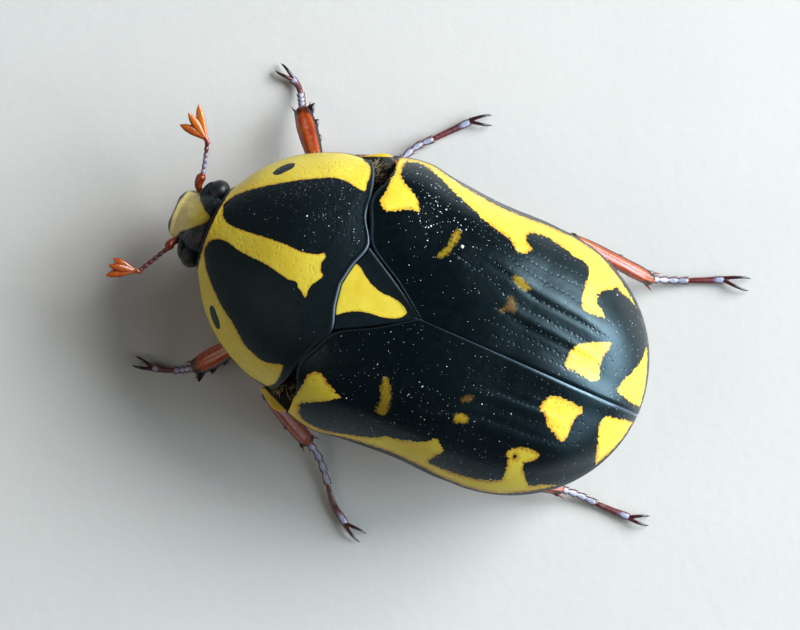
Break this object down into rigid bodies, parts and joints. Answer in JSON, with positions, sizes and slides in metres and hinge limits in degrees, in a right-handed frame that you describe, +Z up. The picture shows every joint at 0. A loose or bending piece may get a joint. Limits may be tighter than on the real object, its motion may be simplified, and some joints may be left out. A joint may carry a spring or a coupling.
{
  "type": "fruit chafer beetle, pachnoda ephippiata",
  "caption": "Black and yellow African fruit chafer as a still, life-size model, standing on its six feet with legs and fanned antennae spread.",
  "frame": {"origin": "on the floor under the middle of the model's outline, legs and antennae included", "axes": "+Z up, -Y towards the head, +Y towards the tail, +X the beetle's left side"},
  "size_m": [0.0228, 0.03, 0.0098],
  "materials": {
    "black_cuticle": "satin black cuticle with a faint blue bloom and yellow markings",
    "yellow_cuticle": "satin lemon yellow cuticle",
    "red_brown_cuticle": "glossy red brown cuticle",
    "orange_cuticle": "satin orange cuticle",
    "eye_lens": "glossy dark compound eye"
  },
  "bodies": {
    "root": {"elytron_left": "black_cuticle", "elytron_right": "black_cuticle", "pronotum": "black_cuticle", "scutellum": "yellow_cuticle", "mesepimeron_left": "yellow_cuticle", "mesepimeron_right": "yellow_cuticle", "prosternum": "black_cuticle", "thorax": "black_cuticle", "abdomen": "black_cuticle", "pygidium": "black_cuticle", "head": "yellow_cuticle", "eye_left": "eye_lens", "eye_right": "eye_lens", "palp_left": "orange_cuticle", "palp_right": "orange_cuticle", "antenna_left_scape": "red_brown_cuticle", "antenna_left_funicle": "red_brown_cuticle", "antenna_left_club": "orange_cuticle", "antenna_right_scape": "red_brown_cuticle", "antenna_right_funicle": "red_brown_cuticle", "antenna_right_club": "orange_cuticle", "leg_front_left_coxa": "black_cuticle", "leg_front_left_femur": "red_brown_cuticle", "leg_front_left_tibia": "red_brown_cuticle", "leg_front_left_tarsus": "red_brown_cuticle", "leg_front_right_coxa": "black_cuticle", "leg_front_right_femur": "red_brown_cuticle", "leg_front_right_tibia": "red_brown_cuticle", "leg_front_right_tarsus": "red_brown_cuticle", "leg_middle_left_coxa": "black_cuticle", "leg_middle_left_femur": "red_brown_cuticle", "leg_middle_left_tibia": "red_brown_cuticle", "leg_middle_left_tarsus": "red_brown_cuticle", "leg_middle_right_coxa": "black_cuticle", "leg_middle_right_femur": "red_brown_cuticle", "leg_middle_right_tibia": "red_brown_cuticle", "leg_middle_right_tarsus": "red_brown_cuticle", "leg_hind_left_coxa": "black_cuticle", "leg_hind_left_femur": "red_brown_cuticle", "leg_hind_left_tibia": "red_brown_cuticle", "leg_hind_left_tarsus": "red_brown_cuticle", "leg_hind_right_coxa": "black_cuticle", "leg_hind_right_femur": "red_brown_cuticle", "leg_hind_right_tibia": "red_brown_cuticle", "leg_hind_right_tarsus": "red_brown_cuticle"}
  },
  "joints": []
}
